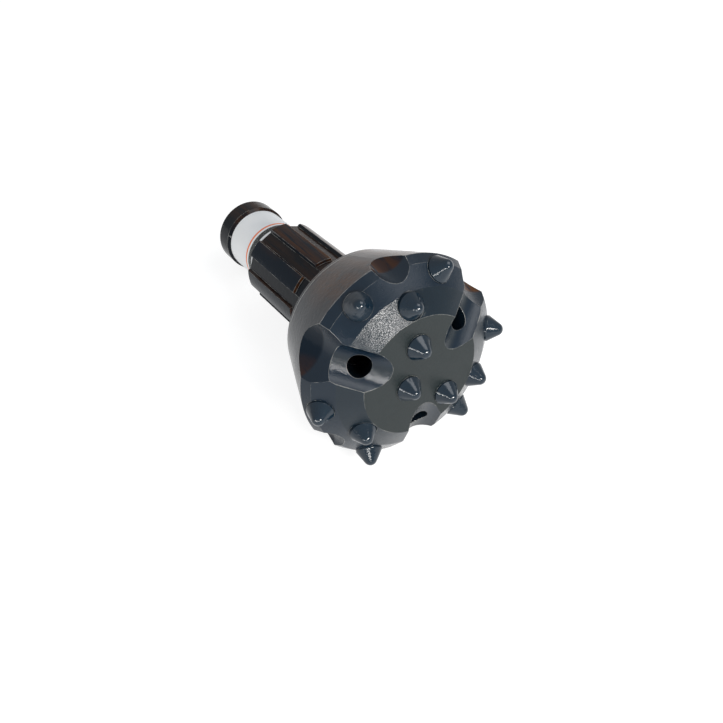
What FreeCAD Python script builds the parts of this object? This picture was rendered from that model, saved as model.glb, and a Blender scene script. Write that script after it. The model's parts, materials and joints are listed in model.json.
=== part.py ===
import FreeCAD, Part
import math
import os
from FreeCAD import Matrix, Vector

# Down-the-hole hammer button bit: one machined steel body, twelve pressed-in carbide buttons and a
# wrap label. All sizes are in millimetres and all angles in degrees.
#
# The bit is modelled about its own axis: +Z points out of the drilling face, z = 0 is the flat of the
# face, and a "depth" is measured from there towards the shank. Angles run about +Z, with the middle
# of the first sector at 0. At the end everything is laid down as the bit lies on a floor, with the
# face towards +X and the third flushing groove underneath.

# Head
head_radius = 53.5              # widest part of the steel head
head_depth = 18.9               # depth of that widest ring
face_radius = 31.5              # flat of the drilling face
cone_radius = 42.5              # outer edge of the shallow cone around the flat
cone_depth = 6.3                # depth of that edge
bevel_angle = 42.0              # slope of the gauge bevel, which the gauge buttons stand square to
bevel_radius = 51.0             # outer edge of the gauge bevel, where a steeper facet starts
waist_radius = 48.0             # edge between the two tapers behind the widest ring
waist_depth = 34.2
shoulder_radius = 39.4          # rear shoulder, the size of the hammer's drive chuck
shoulder_depth = 57.5
shoulder_fillet = 2.5

# Shank
collar_radius = 22.6            # plain collar between the shoulder and the splines
spline_depth = 83.0             # depth where the splines reach their full height
spline_length = 50.5
spline_radius = 24.0
spline_chamfer = 0.8
spline_count = 8
groove_start_angle = 23.0       # angle of the first groove between two splines
groove_root_radius = 21.8       # flat bottom of the grooves between the splines
groove_root_width = 7.1
groove_mouth_width = 9.5        # measured at spline_radius
groove_runout_depth = 67.0      # depth where the grooves start to run out
groove_cutter_radius = 9.0      # the disc cutter that leaves the run-out
neck_radius = 18.0
neck_length = 34.5              # from the splines to the guide land
land_radius = 19.6              # guide land at the tail
land_rise = 1.7                 # length of the conical step from the neck to the land
land_length = 12.0
tail_chamfer = 1.6

# Air passages
bore_radius = 9.0
bore_end_gap = 3.0              # the bore's full size ends this far behind the shoulder
bore_tip_angle = 59.0           # half angle of the drilled end
bore_mouth_chamfer = 1.2
flush_hole_radius = 5.75
flush_hole_tilt = 30.0          # from the bit's axis
flush_hole_pitch_radius = 31.6  # where the hole's axis leaves the floor of the slot

# Flushing grooves, midway between the sectors: a slot across the face and a channel down the side
sector_count = 3
slot_inner_radius = 17.6        # where the slot's floor starts on the flat of the face
slot_cut_radius = 11.0
slot_slope = 28.0               # of the slot's floor, from the face plane
channel_cut_radius = 17.6
channel_tilt = 19.5             # of the channel's floor, from the bit's axis
channel_floor_radius = 42.9     # of the floor at channel_floor_depth
channel_floor_depth = 13.0

# Chip scallops in the side, at the middle of each sector
scallop_cut_radius = 11.0
scallop_tilt = 9.0
scallop_floor_radius = 46.7     # of the floor at scallop_floor_depth
scallop_floor_depth = 10.7

# Buttons
gauge_stand_out = 1.5           # how far the gauge buttons reach beyond the steel, in radius
gauge_button_radius = 6.5
gauge_button_height = 8.2       # how far a button stands out of the steel
gauge_button_spread = 26.8      # angle of a gauge button from the middle of its sector
face_button_radius = 6.5
face_button_height = 7.7
button_tip_ratio = 0.52         # radius of the rounded tip, as a part of the button's radius
button_land = 0.8               # straight cylinder above the steel, below the cone
button_seat = 13.0              # depth of the drilled seat
button_foot_chamfer = 1.0
shoulder_button_pitch_radius = 37.4
shoulder_button_tilt = 17.0
centre_button_1_radius = 16.6   # pitch radius of each centre button
centre_button_1_angle = 0.0
centre_button_2_radius = 8.3
centre_button_2_angle = 117.0
centre_button_3_radius = 22.1
centre_button_3_angle = -143.0

# Label
label_gap = 4.0                 # from the splines to the label
label_length = 30.0
label_thickness = 0.25

# How far a cutting tool is run past the surface that it cuts
overcut = 20.0
small_overcut = 1.0


def turned(points):
    """A solid of revolution about Z from (radius, z) points."""
    corners = [Vector(radius, 0, z) for radius, z in points]
    wire = Part.makePolygon(corners + corners[:1])
    return Part.Face(wire).revolve(Vector(0, 0, 0), Vector(0, 0, 1), 360)


def turned_about_z(shape, angle):
    """A copy of the shape turned about the bit's axis."""
    copy = shape.copy()
    copy.rotate(Vector(0, 0, 0), Vector(0, 0, 1), angle)
    return copy


def bevel_depth(radius):
    """Depth of the gauge bevel at a radius."""
    return cone_depth + (radius - cone_radius) * math.tan(math.radians(bevel_angle))


def cone_surface_depth(radius):
    """Depth of the shallow cone around the flat face at a radius."""
    return cone_depth * (radius - face_radius) / (cone_radius - face_radius)


def tilted_out(angle):
    """Unit vector in the XZ plane, tilted from +Z towards +X."""
    return Vector(math.sin(math.radians(angle)), 0, math.cos(math.radians(angle)))


def spline_end_depth():
    """Depth where the splines end and the neck starts."""
    return spline_depth + spline_length


def neck_end_depth():
    """Depth where the neck ends and the guide land starts to rise."""
    return spline_end_depth() + neck_length


def tail_depth():
    """Depth of the striking face at the end of the shank."""
    return neck_end_depth() + land_rise + land_length


def head_and_shank():
    """The outside of the body as it leaves the lathe."""
    spline_end = spline_end_depth()
    neck_end = neck_end_depth()
    tail = tail_depth()
    step = spline_radius - collar_radius
    points = [
        (0, 0),
        (face_radius, 0),
        (cone_radius, -cone_depth),
        (bevel_radius, -bevel_depth(bevel_radius)),
        (head_radius, -head_depth),
        (waist_radius, -waist_depth),
        (shoulder_radius, -shoulder_depth),
        (collar_radius + shoulder_fillet, -shoulder_depth),
        (collar_radius, -shoulder_depth - shoulder_fillet),
        (collar_radius, -spline_depth),
        (spline_radius, -spline_depth - step / 2),
        (spline_radius, -spline_end + spline_chamfer),
        (spline_radius - spline_chamfer, -spline_end),
        (neck_radius, -spline_end),
        (neck_radius, -neck_end),
        (land_radius, -neck_end - land_rise),
        (land_radius, -tail + tail_chamfer),
        (land_radius - tail_chamfer, -tail),
        (0, -tail),
    ]
    return turned(points)


def spline_groove():
    """Cutter for one groove between two splines, with the arc that a disc cutter leaves."""
    slope = (groove_mouth_width - groove_root_width) / 2 / (spline_radius - groove_root_radius)
    top_radius = spline_radius + small_overcut
    top_half = groove_mouth_width / 2 + slope * small_overcut
    root_half = groove_root_width / 2
    corners = [
        Vector(groove_root_radius, -root_half, -groove_runout_depth),
        Vector(top_radius, -top_half, -groove_runout_depth),
        Vector(top_radius, top_half, -groove_runout_depth),
        Vector(groove_root_radius, root_half, -groove_runout_depth),
    ]
    section = Part.Face(Part.makePolygon(corners + corners[:1]))
    length = spline_end_depth() - groove_runout_depth + small_overcut
    straight = section.extrude(Vector(0, 0, -length))
    cutter_centre = Vector(groove_root_radius + groove_cutter_radius, 0, -groove_runout_depth)
    runout = section.revolve(cutter_centre, Vector(0, 1, 0), 80)
    return straight.fuse(runout)


def tilted_cylinder(floor_point, along, outward, cut_radius, before, after):
    """A round cutter whose lowest line passes floor_point along a direction in the XZ plane."""
    start = floor_point + outward * cut_radius - along * before
    return Part.makeCylinder(cut_radius, before + after, start, along)


def face_slot():
    """Cutter for the slot that leads from the flat of the face to the head's side."""
    slope = math.radians(slot_slope)
    along = Vector(math.cos(slope), 0, -math.sin(slope))
    outward = Vector(math.sin(slope), 0, math.cos(slope))
    floor_point = Vector(slot_inner_radius, 0, 0)
    return tilted_cylinder(floor_point, along, outward, slot_cut_radius, small_overcut,
                           head_radius + overcut)


def side_cut(floor_radius, floor_depth, tilt, cut_radius):
    """Cutter for a channel down the head's side, open at the bevel and at the rear taper."""
    lean = math.radians(tilt)
    along = Vector(math.sin(lean), 0, -math.cos(lean))
    outward = Vector(math.cos(lean), 0, math.sin(lean))
    floor_point = Vector(floor_radius, 0, -floor_depth)
    return tilted_cylinder(floor_point, along, outward, cut_radius, floor_depth + overcut,
                           shoulder_depth + overcut)


def flush_hole():
    """Cutter for one air hole, from the floor of a slot down to the central bore."""
    floor_depth = (flush_hole_pitch_radius - slot_inner_radius) * math.tan(math.radians(slot_slope))
    mouth = Vector(flush_hole_pitch_radius, 0, -floor_depth)
    axis = tilted_out(flush_hole_tilt)
    reach = flush_hole_pitch_radius / math.sin(math.radians(flush_hole_tilt))
    start = mouth - axis * reach
    return Part.makeCylinder(flush_hole_radius, reach + overcut, start, axis)


def air_bore():
    """Cutter for the blind bore up the middle of the shank."""
    tail = tail_depth()
    end = shoulder_depth + bore_end_gap
    tip = bore_radius / math.tan(math.radians(bore_tip_angle))
    points = [
        (0, -end + tip),
        (bore_radius, -end),
        (bore_radius, -tail + bore_mouth_chamfer),
        (bore_radius + bore_mouth_chamfer, -tail),
        (bore_radius + bore_mouth_chamfer, -tail - small_overcut),
        (0, -tail - small_overcut),
    ]
    return turned(points)


def button(radius, height):
    """A button on its own axis: z = 0 is where it leaves the steel."""
    tip_radius = button_tip_ratio * radius
    centre_z = height - tip_radius
    # The cone runs from the top of the land to where it meets the round tip as a tangent.
    from_centre = math.hypot(radius, centre_z - button_land)
    facing = math.atan2(button_land - centre_z, radius)
    touch = facing + math.acos(tip_radius / from_centre)
    touch_point = Vector(tip_radius * math.cos(touch), 0, centre_z + tip_radius * math.sin(touch))
    halfway = (touch + math.pi / 2) / 2
    arc_point = Vector(tip_radius * math.cos(halfway), 0, centre_z + tip_radius * math.sin(halfway))
    tip = Vector(0, 0, height)
    foot = -button_seat
    corners = [
        tip,
        Vector(0, 0, foot),
        Vector(radius - button_foot_chamfer, 0, foot),
        Vector(radius, 0, foot + button_foot_chamfer),
        Vector(radius, 0, button_land),
        touch_point,
    ]
    edges = [Part.makeLine(a, b) for a, b in zip(corners, corners[1:])]
    edges.append(Part.Arc(touch_point, arc_point, tip).toShape())
    return Part.Face(Part.Wire(edges)).revolve(Vector(0, 0, 0), Vector(0, 0, 1), 360)


def seat(radius):
    """Cutter for the flat-bottomed hole that a button is pressed into."""
    return Part.makeCylinder(radius, button_seat + overcut, Vector(0, 0, -button_seat))


def set_in_head(shape, pitch_radius, depth, tilt, angle):
    """A copy of a button or seat, moved to its place on the head."""
    placed = shape.copy()
    placed.rotate(Vector(0, 0, 0), Vector(0, 1, 0), tilt)
    placed.translate(Vector(pitch_radius, 0, -depth))
    placed.rotate(Vector(0, 0, 0), Vector(0, 0, 1), angle)
    return placed


def button_layout():
    """Every button: node name, radius, height, pitch radius, depth, tilt and angle."""
    layout = []
    tip_radius = button_tip_ratio * gauge_button_radius
    lean = math.sin(math.radians(bevel_angle))
    gauge_pitch = (head_radius + gauge_stand_out - tip_radius
                   - (gauge_button_height - tip_radius) * lean)
    sector = 360.0 / sector_count
    gauge_number = 0
    for index in range(sector_count):
        middle = index * sector
        for side in (-1, 1):
            gauge_number += 1
            angle = middle + side * gauge_button_spread
            layout.append(("gauge_button_%d" % gauge_number, gauge_button_radius,
                           gauge_button_height, gauge_pitch, bevel_depth(gauge_pitch),
                           bevel_angle, angle))
        depth = cone_surface_depth(shoulder_button_pitch_radius)
        layout.append(("shoulder_button_%d" % (index + 1), face_button_radius,
                       face_button_height, shoulder_button_pitch_radius, depth,
                       shoulder_button_tilt, middle))
    centre_buttons = (
        (centre_button_1_radius, centre_button_1_angle),
        (centre_button_2_radius, centre_button_2_angle),
        (centre_button_3_radius, centre_button_3_angle),
    )
    for index, (pitch, angle) in enumerate(centre_buttons):
        layout.append(("centre_button_%d" % (index + 1), face_button_radius, face_button_height,
                       pitch, 0.0, 0.0, angle))
    return layout


def bit_body(layout):
    """The steel body with every groove, hole and seat cut."""
    cutters = [air_bore()]
    sector = 360.0 / sector_count
    slot = face_slot()
    channel = side_cut(channel_floor_radius, channel_floor_depth, channel_tilt, channel_cut_radius)
    scallop = side_cut(scallop_floor_radius, scallop_floor_depth, scallop_tilt, scallop_cut_radius)
    hole = flush_hole()
    for index in range(sector_count):
        between = (index + 0.5) * sector
        cutters.append(turned_about_z(slot, between))
        cutters.append(turned_about_z(channel, between))
        cutters.append(turned_about_z(hole, between))
        cutters.append(turned_about_z(scallop, index * sector))
    groove = spline_groove()
    for index in range(spline_count):
        cutters.append(turned_about_z(groove, groove_start_angle + index * 360.0 / spline_count))
    for name, radius, height, pitch, depth, tilt, angle in layout:
        cutters.append(set_in_head(seat(radius), pitch, depth, tilt, angle))
    return head_and_shank().cut(cutters).removeSplitter().Solids[0]


def label_wrap():
    """The paper label, a thin sleeve round the neck."""
    outer = neck_radius + label_thickness
    start = spline_end_depth() + label_gap
    points = [
        (neck_radius, -start),
        (outer, -start),
        (outer, -start - label_length),
        (neck_radius, -start - label_length),
    ]
    return turned(points)


def lying_tilt(shapes, body):
    """Angle of the bit's axis above the floor when it lies with -X of its own frame underneath."""
    points = []
    for shape in shapes:
        points += [(-p.z, p.x) for p in shape.tessellate(0.05)[0]]
    points.sort()
    underside = []
    for point in points:
        while len(underside) > 1:
            (x1, y1), (x2, y2) = underside[-2:]
            if (x2 - x1) * (point[1] - y1) - (y2 - y1) * (point[0] - x1) > 0:
                break
            underside.pop()
        underside.append(point)
    balance = -body.CenterOfMass.z
    for (x1, y1), (x2, y2) in zip(underside, underside[1:]):
        if x1 <= balance <= x2:
            return math.degrees(math.atan2(y2 - y1, x2 - x1))
    return 0.0


def laid_down(shapes, tilt):
    """The matrix that lays the bit on the plane z = 0, centred about the origin."""
    rise = math.sin(math.radians(tilt))
    run = math.cos(math.radians(tilt))
    lay = Matrix(-rise, 0, run, 0,
                 0, -1, 0, 0,
                 run, 0, rise, 0,
                 0, 0, 0, 1)
    whole = Part.makeCompound([shape.transformGeometry(Matrix()) for shape in shapes])
    whole.transformShape(lay)
    box = whole.optimalBoundingBox(False, False)
    shift = Matrix()
    shift.move(Vector(-(box.XMin + box.XMax) / 2, -(box.YMin + box.YMax) / 2, -box.ZMin))
    return shift.multiply(lay)


def build():
    """Every node of the bit, laid down, with the matrix that was used."""
    layout = button_layout()
    nodes = {"bit_body": bit_body(layout)}
    for name, radius, height, pitch, depth, tilt, angle in layout:
        nodes[name] = set_in_head(button(radius, height), pitch, depth, tilt, angle)
    nodes["label_wrap"] = label_wrap()
    tilt = lying_tilt(nodes.values(), nodes["bit_body"])
    matrix = laid_down(list(nodes.values()), tilt)
    for shape in nodes.values():
        shape.transformShape(matrix)
    return nodes, matrix, tilt


def main():
    os.makedirs("parts", exist_ok=True)
    nodes, matrix, tilt = build()
    for name, shape in nodes.items():
        shape.exportStep("parts/%s.step" % name)
        print(name, shape.ShapeType, len(shape.Solids), round(shape.Volume, 1), shape.isValid())
    print("axis tilt %.2f degrees" % tilt)


main()
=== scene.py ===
import json
import math

import bpy
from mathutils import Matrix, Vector

# A painted down-the-hole hammer bit lying on a white floor. Lengths are in metres, angles in
# degrees, and the scale of a noise is in features per metre.

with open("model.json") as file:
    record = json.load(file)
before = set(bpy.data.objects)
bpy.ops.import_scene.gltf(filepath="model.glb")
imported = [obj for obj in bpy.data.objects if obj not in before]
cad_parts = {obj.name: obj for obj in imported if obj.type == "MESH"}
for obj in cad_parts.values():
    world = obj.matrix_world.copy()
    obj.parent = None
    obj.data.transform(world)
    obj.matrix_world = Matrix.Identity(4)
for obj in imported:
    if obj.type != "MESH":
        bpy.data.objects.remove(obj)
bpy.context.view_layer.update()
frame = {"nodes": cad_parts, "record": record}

# The bit's own axes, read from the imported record: "tailward" runs along the shank, "upward" and
# "sideward" cross it, and the shoulder is the plane that head and shank share.
mounts = {mount["name"]: mount for mount in frame["record"]["mounts"]}
tailward = Vector(mounts["chuck_shoulder"]["axis"]).normalized()
upward = Vector((tailward.z, 0.0, -tailward.x))
sideward = Vector((0.0, -1.0, 0.0))
shoulder_point = Vector(mounts["chuck_shoulder"]["pos_m"])
axis_point = Vector(mounts["tail_land"]["pos_m"])

CAMERA_AZIMUTH = -33.18
CAMERA_ELEVATION = 48.006
CAMERA_DISTANCE = 0.46434
CAMERA_LENS = 41.258            # mm
CAMERA_SENSOR = 36.0            # mm
CAMERA_NEAR = 0.01
CAMERA_AIM = Vector((0.02189, 0.00841, 0.0))

# Name, azimuth, elevation, distance, width, height, power in watts, colour.
LIGHTS = (
    ("strip", -46, 14, 0.95, 0.95, 0.045, 4.6, (1.0, 0.99, 0.97)),
    ("front", 5, 28, 0.95, 0.34, 0.11, 6.6, (1.0, 0.98, 0.95)),
    ("top", 60, 62, 0.9, 0.5, 0.5, 2.6, (0.95, 0.97, 1.0)),
)
WORLD_LIGHT = ((0.93, 0.96, 1.0, 1.0), 0.37)
WORLD_SHOWN = ((0.96, 0.98, 1.0, 1.0), 0.60)
FLOOR_SIZE = 3.0
FLOOR_LIT = (0.80, 0.80, 0.80, 1.0)
FLOOR_SHOWN = (0.34, 0.34, 0.34, 1.0)
FLOOR_GLOW = 0.82

# Places along the bit, from the shoulder towards the tail.
HEAD_FRONT = -0.0386            # the widest ring of the head
FRONT_FADE = (0.0015, -0.0005)  # how the front's finish starts around that ring
HIGHLIGHT_RIM_LINE = -0.0026              # where a painted highlight line sits on the shoulder's rounding
LABEL_DARK_BAND = 0.0850
LABEL_ORANGE_BAND = 0.0892

# Distances from the bit's axis.
# The spline grooves get painted shade.
GROOVE_RADII = (0.0236, 0.0224)  # the spline grooves darken between these
HIGHLIGHT_RIM_RADII = (0.037, 0.038)       # the painted highlight line shows outside these

# Steel: noise scales.
BROAD_SCALE = 34.0
CLOUD_SCALE = 130.0
PEEL_SCALE = 420.0
STREAK_SCALE = 520.0
GRAIN_SCALE = 2100.0
GRIT_SCALE = 2400.0
# The next scale sets the bands of the painted brown reflection round the axis.
REFLECTION_BAND_SCALE = 2.6                # on a circle of radius 1 round the axis
STREAK_ROUND = 0.024            # metres a radian
STREAK_SQUEEZE = 0.06           # streaks are this much slower along the axis than round it
TURNING_RATE = 5200.0           # radians a metre

# Steel: colours.
BEVEL_DARK = (0.002, 0.008, 0.017, 1.0)
BEVEL_LIGHT = (0.005, 0.013, 0.023, 1.0)
FLAT_DARK = (0.004, 0.009, 0.010, 1.0)
FLAT_LIGHT = (0.009, 0.014, 0.015, 1.0)
PORE_DUST = (0.022, 0.027, 0.028, 1.0)
BACK_PAINT = (0.003, 0.008, 0.015, 1.0)
# Painted brown reflection on the shank and the back of the head.
BROWN_REFLECTION_PAINT = (0.072, 0.026, 0.007, 1.0)
# Painted shade in hollows and spline grooves.
HOLLOW_PAINTED_SHADE = (0.002, 0.003, 0.004, 1.0)
# Rubbed metal, also painted as highlight along the edges and round the shoulder.
RUBBED_METAL_AND_HIGHLIGHT = (0.34, 0.34, 0.32, 1.0)

# Steel: relief and gloss.
HOLLOW_REACH = 0.018
STEEL_EDGE = 0.00040
BLAST_DEPTH = 0.000075
PEEL_DEPTH = 0.00010
STEEL_SPECULAR = 0.02
FRONT_COAT = 0.70
BACK_COAT = 0.26
COAT_ROUGHNESS = 0.06

# Carbide.
CARBIDE_CLOUD_SCALE = 210.0
CARBIDE_FINE_SCALE = 900.0
CARBIDE_DARK = (0.002, 0.009, 0.018, 1.0)
CARBIDE_LIGHT = (0.006, 0.016, 0.027, 1.0)
CARBIDE_SPECK = (0.10, 0.11, 0.12, 1.0)
# Rubbed edges of the buttons, also a painted edge highlight.
CARBIDE_RUBBED_AND_HIGHLIGHT = (0.10, 0.11, 0.11, 1.0)
CARBIDE_EDGE = 0.00030
CARBIDE_RUN_DEPTH = 0.00026
CARBIDE_FINE_DEPTH = 0.00004
CARBIDE_SPECULAR = 0.45

# Label.
DARK_BAND_HALF = 0.0019
ORANGE_BAND_HALF = 0.0007
BAND_SOFTNESS = 0.00012
FIBRE_SCALE = 1500.0
BLOTCH_SCALE = 90.0
WRINKLE_SCALE = 160.0
PAPER_DARK = (0.83, 0.86, 0.88, 1.0)
PAPER_LIGHT = (0.92, 0.92, 0.91, 1.0)
DARK_INK = (0.012, 0.015, 0.014, 1.0)
ORANGE_INK = (0.85, 0.20, 0.06, 1.0)
WRINKLE_DEPTH = 0.00018
FIBRE_DEPTH = 0.00002

EDGE_TURN = (0.9965, 0.965)     # cosine between the rounded and the true normal: plain to worn with painted edge highlight
EDGE_SAMPLES = 6
HOLLOW_SAMPLES = 6


class Tree:
    """Short names for the nodes of one material."""

    def __init__(self, name):
        self.material = bpy.data.materials.new(name)
        self.material.use_nodes = True
        self.nodes = self.material.node_tree.nodes
        self.links = self.material.node_tree.links
        self.shader = self.nodes["Principled BSDF"]

    def put(self, socket, value):
        if isinstance(value, bpy.types.NodeSocket):
            self.links.new(value, socket)
        else:
            socket.default_value = value

    def node(self, kind, inputs=None, **settings):
        made = self.nodes.new(kind)
        for name, value in settings.items():
            setattr(made, name, value)
        for name, value in (inputs or {}).items():
            self.put(made.inputs[name], value)
        return made

    def math(self, operation, *values):
        made = self.node("ShaderNodeMath", operation=operation)
        for index, value in enumerate(values):
            self.put(made.inputs[index], value)
        return made.outputs[0]

    def times(self, first, second):
        return self.math("MULTIPLY", first, second)

    def plus(self, first, second):
        return self.math("ADD", first, second)

    def scaled(self, base, value, gain):
        """base + value * gain."""
        return self.plus(base, self.times(value, gain))

    def vector(self, operation, first, second):
        made = self.node("ShaderNodeVectorMath", operation=operation)
        self.put(made.inputs[0], first)
        self.put(made.inputs[1], second)
        return made

    def dot(self, first, second):
        return self.vector("DOT_PRODUCT", first, second).outputs["Value"]

    def offset(self, place, origin):
        return self.vector("SUBTRACT", place, origin).outputs["Vector"]

    def ramp(self, value, low, high):
        """A smooth step from 0 at low to 1 at high. Low may be the greater."""
        made = self.node("ShaderNodeMapRange", {"Value": value, "From Min": low, "From Max": high})
        made.interpolation_type = "SMOOTHSTEP"
        return made.outputs["Result"]

    def mix(self, factor, first, second):
        made = self.node("ShaderNodeMix", data_type="RGBA")
        self.put(made.inputs[0], factor)
        self.put(made.inputs[6], first)
        self.put(made.inputs[7], second)
        return made.outputs[2]

    def noise(self, place, scale, detail=4.0, roughness=0.55):
        made = self.node("ShaderNodeTexNoise", {"Vector": place, "Scale": scale, "Detail": detail,
                                                "Roughness": roughness})
        return made.outputs["Fac"]

    def place(self):
        return self.node("ShaderNodeTexCoord").outputs["Object"]

    def normal(self):
        return self.node("ShaderNodeNewGeometry").outputs["Normal"]

    def along(self, place):
        """Distance behind the shoulder, along the shank."""
        return self.dot(self.offset(place, shoulder_point), tailward)

    def across(self, place):
        """Distance from the bit's axis, and the angle round it."""
        offset = self.offset(place, axis_point)
        up = self.dot(offset, upward)
        side = self.dot(offset, sideward)
        radius = self.math("SQRT", self.plus(self.times(up, up), self.times(side, side)))
        return radius, self.math("ARCTAN2", side, up)

    def away(self, value, middle):
        return self.math("ABSOLUTE", self.math("SUBTRACT", value, middle))

    def rounded(self, radius):
        """The normal with edges rounded, and how near an edge the point is."""
        bevel = self.node("ShaderNodeBevel", {"Radius": radius}, samples=EDGE_SAMPLES)
        turned = self.dot(bevel.outputs["Normal"], self.normal())
        return bevel.outputs["Normal"], self.ramp(turned, *EDGE_TURN)

    def finish(self, colour, rough, height, normal=None):
        """Link colour, roughness and relief to the shader. Returns the normal with its relief."""
        inputs = {"Strength": 1.0, "Distance": 1.0, "Height": height}
        if normal is not None:
            inputs["Normal"] = normal
        bump = self.node("ShaderNodeBump", inputs).outputs["Normal"]
        self.put(self.shader.inputs["Base Color"], colour)
        self.put(self.shader.inputs["Roughness"], rough)
        self.put(self.shader.inputs["Normal"], bump)
        return bump


def painted_steel():
    """Sprayed blue-grey paint: fine-blasted and satin on the face, smoother and glossier behind."""
    tree = Tree("painted_steel")
    place = tree.place()
    along = tree.along(place)
    radius, turn = tree.across(place)
    normal = tree.normal()
    front = tree.ramp(along, HEAD_FRONT + FRONT_FADE[0], HEAD_FRONT + FRONT_FADE[1])
    behind = tree.math("SUBTRACT", 1.0, front)
    flat = tree.ramp(tree.dot(normal, -tailward), 0.80, 0.97)

    broad = tree.noise(place, BROAD_SCALE, 3.0)
    cloud = tree.noise(place, CLOUD_SCALE, 5.0, 0.6)
    grain = tree.noise(place, GRAIN_SCALE, 2.0, 0.6)
    grit = tree.node("ShaderNodeTexVoronoi", {"Vector": place, "Scale": GRIT_SCALE})
    drawn = tree.node("ShaderNodeCombineXYZ", {"X": tree.times(turn, STREAK_ROUND),
                                               "Y": tree.times(along, STREAK_SQUEEZE),
                                               "Z": radius})
    streak = tree.noise(drawn.outputs["Vector"], STREAK_SCALE, 4.0, 0.6)
    around = tree.node("ShaderNodeCombineXYZ", {"X": tree.math("COSINE", turn),
                                                "Y": tree.math("SINE", turn)})
    # Bands round the axis for the painted brown reflection.
    band = tree.ramp(tree.noise(around.outputs["Vector"], REFLECTION_BAND_SCALE, 2.0), 0.40, 0.60)
    # Occlusion drives the painted shade in hollows.
    shade = tree.node("ShaderNodeAmbientOcclusion", {"Distance": HOLLOW_REACH},
                      samples=HOLLOW_SAMPLES)
    hollow = tree.ramp(shade.outputs["AO"], 0.80, 0.25)

    # Blue-grey on the bevels, greyer and greener on the flat.
    bevel_colour = tree.mix(cloud, BEVEL_DARK, BEVEL_LIGHT)
    flat_colour = tree.mix(cloud, FLAT_DARK, FLAT_LIGHT)
    front_colour = tree.mix(flat, bevel_colour, flat_colour)

    # Behind, a streaky painted brown reflection on all but the sides that face sideward.
    brown_reflection_facing = tree.ramp(tree.plus(tree.dot(normal, sideward), tree.times(broad, 0.5)), 0.95, 0.45)
    painted_brown_reflection = tree.times(brown_reflection_facing, tree.ramp(streak, 0.30, 0.52))
    painted_brown_reflection = tree.times(painted_brown_reflection, tree.scaled(0.35, band, 0.65))
    back_paint_and_reflection = tree.mix(painted_brown_reflection, BACK_PAINT, BROWN_REFLECTION_PAINT)
    colour = tree.mix(front, back_paint_and_reflection, front_colour)

    # Painted shade in hollows and in the spline grooves.
    groove = tree.times(tree.ramp(radius, *GROOVE_RADII), tree.ramp(along, 0.0, 0.001))
    painted_shade = tree.math("MAXIMUM", tree.times(hollow, 0.85), tree.times(groove, 0.6))
    colour = tree.mix(painted_shade, colour, HOLLOW_PAINTED_SHADE)

    # Rubbed metal and painted edge highlight along the edges, and a painted highlight line round
    # the shoulder, in broken lines.
    round_normal, edge = tree.rounded(STEEL_EDGE)
    wear_and_highlight = tree.times(edge, tree.ramp(cloud, 0.38, 0.60))
    painted_rim_highlight = tree.times(tree.ramp(tree.away(along, HIGHLIGHT_RIM_LINE), 0.00045, 0.0002),
                     tree.ramp(radius, *HIGHLIGHT_RIM_RADII))
    wear_and_highlight = tree.math("MAXIMUM", wear_and_highlight, tree.times(painted_rim_highlight, tree.ramp(cloud, 0.28, 0.50)))
    colour = tree.mix(tree.times(wear_and_highlight, 0.8), colour, RUBBED_METAL_AND_HIGHLIGHT)

    # Dust in the pores of the blasted face.
    pores = tree.times(tree.ramp(grain, 0.62, 0.76), tree.times(front, 0.35))
    colour = tree.mix(pores, colour, PORE_DUST)

    rough = tree.plus(tree.times(tree.scaled(0.24, grain, 0.16), front),
                      tree.times(tree.scaled(0.08, cloud, 0.20), behind))
    rough = tree.scaled(rough, wear_and_highlight, 0.15)

    # Relief: blast grain in front, soft orange peel and fine turning marks behind.
    blast = tree.plus(tree.times(grain, 0.6), tree.times(grit.outputs["Distance"], 0.8))
    turning = tree.math("SINE", tree.times(along, TURNING_RATE))
    peel = tree.scaled(tree.noise(place, PEEL_SCALE, 3.0), turning, 0.03)
    height = tree.plus(tree.times(blast, tree.times(front, BLAST_DEPTH)),
                       tree.times(peel, tree.times(behind, PEEL_DEPTH)))
    relief = tree.finish(colour, rough, height, round_normal)
    gloss = tree.plus(tree.times(front, FRONT_COAT), tree.times(behind, BACK_COAT))
    tree.put(tree.shader.inputs["Coat Normal"], relief)
    tree.put(tree.shader.inputs["Coat Weight"], gloss)
    tree.shader.inputs["Coat Roughness"].default_value = COAT_ROUGHNESS
    tree.shader.inputs["Specular IOR Level"].default_value = STEEL_SPECULAR
    return tree.material


def painted_carbide():
    """Glossy navy paint over smooth carbide, with runs, specks, and rubbed edges with a painted
    edge highlight.
    """
    tree = Tree("painted_carbide")
    place = tree.place()
    cloud = tree.noise(place, CARBIDE_CLOUD_SCALE)
    fine = tree.noise(place, CARBIDE_FINE_SCALE, 3.0)
    round_normal, edge = tree.rounded(CARBIDE_EDGE)
    colour = tree.mix(cloud, CARBIDE_DARK, CARBIDE_LIGHT)
    colour = tree.mix(tree.times(tree.ramp(fine, 0.70, 0.75), 0.35), colour, CARBIDE_SPECK)
    # Rubbed edges and painted edge highlight.
    colour = tree.mix(tree.times(edge, 0.30), colour, CARBIDE_RUBBED_AND_HIGHLIGHT)
    rough = tree.scaled(0.07, fine, 0.10)
    height = tree.plus(tree.times(cloud, CARBIDE_RUN_DEPTH), tree.times(fine, CARBIDE_FINE_DEPTH))
    tree.finish(colour, rough, height, round_normal)
    tree.shader.inputs["Specular IOR Level"].default_value = CARBIDE_SPECULAR
    return tree.material


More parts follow.
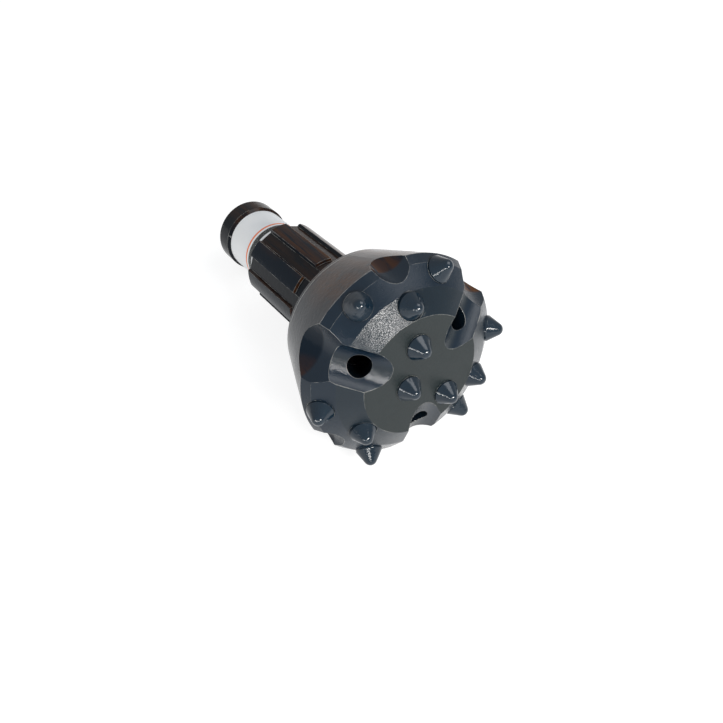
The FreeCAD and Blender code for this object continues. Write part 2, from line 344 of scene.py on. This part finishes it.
def paper_label():
    """White paper with two plain bands all the way round and nothing written on it."""
    tree = Tree("label")
    place = tree.place()
    along = tree.along(place)

    def band(middle, half):
        return tree.ramp(tree.away(along, middle), half + BAND_SOFTNESS, half - BAND_SOFTNESS)

    fibre = tree.noise(place, FIBRE_SCALE)
    blotch = tree.noise(place, BLOTCH_SCALE)
    wrinkle = tree.noise(place, WRINKLE_SCALE, 3.0)
    colour = tree.mix(blotch, PAPER_DARK, PAPER_LIGHT)
    ink = tree.times(band(LABEL_DARK_BAND, DARK_BAND_HALF), tree.ramp(fibre, 0.25, 0.42))
    colour = tree.mix(ink, colour, DARK_INK)
    colour = tree.mix(band(LABEL_ORANGE_BAND, ORANGE_BAND_HALF), colour, ORANGE_INK)
    height = tree.plus(tree.times(wrinkle, WRINKLE_DEPTH), tree.times(fibre, FIBRE_DEPTH))
    tree.finish(colour, tree.scaled(0.34, fibre, 0.2), height)
    return tree.material


def show_to_background_rays(nodes, links, lit, shown, surface):
    """Send `shown` to camera, glossy and transmission rays, and `lit` to all others."""
    path = nodes.new("ShaderNodeLightPath")
    seen = path.outputs["Is Camera Ray"]
    for name in ("Is Glossy Ray", "Is Transmission Ray"):
        either = nodes.new("ShaderNodeMath")
        either.operation = "MAXIMUM"
        links.new(seen, either.inputs[0])
        links.new(path.outputs[name], either.inputs[1])
        seen = either.outputs[0]
    choose = nodes.new("ShaderNodeMixShader")
    links.new(seen, choose.inputs[0])
    links.new(lit.outputs[0], choose.inputs[1])
    links.new(shown.outputs[0], choose.inputs[2])
    links.new(choose.outputs[0], surface)


def floor_material():
    """A plain pale floor that shows as white and keeps the object's soft shadow."""
    material = bpy.data.materials.new("floor")
    material.use_nodes = True
    nodes = material.node_tree.nodes
    links = material.node_tree.links
    nodes.clear()
    output = nodes.new("ShaderNodeOutputMaterial")
    lit = nodes.new("ShaderNodeBsdfDiffuse")
    lit.inputs["Color"].default_value = FLOOR_LIT
    pale = nodes.new("ShaderNodeBsdfDiffuse")
    pale.inputs["Color"].default_value = FLOOR_SHOWN
    glow = nodes.new("ShaderNodeEmission")
    glow.inputs["Strength"].default_value = FLOOR_GLOW
    shown = nodes.new("ShaderNodeAddShader")
    links.new(pale.outputs[0], shown.inputs[0])
    links.new(glow.outputs[0], shown.inputs[1])
    show_to_background_rays(nodes, links, lit, shown, output.inputs["Surface"])
    return material


def add_world():
    """A plain studio: soft light from all round, seen as a pale wall."""
    world = bpy.data.worlds.new("world")
    bpy.context.scene.world = world
    world.use_nodes = True
    nodes = world.node_tree.nodes
    lit = nodes["Background"]
    shown = nodes.new("ShaderNodeBackground")
    for background, (colour, strength) in ((lit, WORLD_LIGHT), (shown, WORLD_SHOWN)):
        background.inputs["Color"].default_value = colour
        background.inputs["Strength"].default_value = strength
    show_to_background_rays(nodes, world.node_tree.links, lit, shown,
                            nodes["World Output"].inputs["Surface"])


def aimed(name, data, aim, azimuth, elevation, distance):
    """Put a light or camera at a direction and distance from its aim, looking at the aim."""
    turn = math.radians(azimuth)
    rise = math.radians(elevation)
    away = Vector((math.cos(rise) * math.cos(turn), math.cos(rise) * math.sin(turn),
                   math.sin(rise)))
    made = bpy.data.objects.new(name, data)
    made.location = aim + away * distance
    made.rotation_euler = (-away).to_track_quat("-Z", "Y").to_euler()
    bpy.context.scene.collection.objects.link(made)
    return made


def add_lights():
    for name, azimuth, elevation, distance, width, height, power, colour in LIGHTS:
        data = bpy.data.lights.new(name, "AREA")
        data.shape = "RECTANGLE"
        data.size = width
        data.size_y = height
        data.energy = power
        data.color = colour
        aimed(name, data, Vector(), azimuth, elevation, distance)


def add_camera():
    data = bpy.data.cameras.new("camera")
    data.lens = CAMERA_LENS
    data.sensor_width = CAMERA_SENSOR
    data.clip_start = CAMERA_NEAR
    bpy.context.scene.camera = aimed("camera", data, CAMERA_AIM, CAMERA_AZIMUTH,
                                     CAMERA_ELEVATION, CAMERA_DISTANCE)


def add_floor():
    half = FLOOR_SIZE / 2
    corners = [(-half, -half, 0), (half, -half, 0), (half, half, 0), (-half, half, 0)]
    mesh = bpy.data.meshes.new("floor")
    mesh.from_pydata(corners, [], [(0, 1, 2, 3)])
    floor = bpy.data.objects.new("floor", mesh)
    floor.data.materials.append(floor_material())
    bpy.context.scene.collection.objects.link(floor)


def dress():
    """Give every CAD node the finish of its material slot."""
    finishes = {
        "painted_steel": painted_steel(),
        "painted_carbide": painted_carbide(),
        "label": paper_label(),
    }
    for part in frame["record"]["subparts"]:
        node = frame["nodes"][part["node"]]
        for slot in node.material_slots:
            slot.material = finishes[part["material_slot"]]


dress()
add_floor()
add_world()
add_camera()
add_lights()
bpy.context.scene.view_settings.view_transform = "Standard"
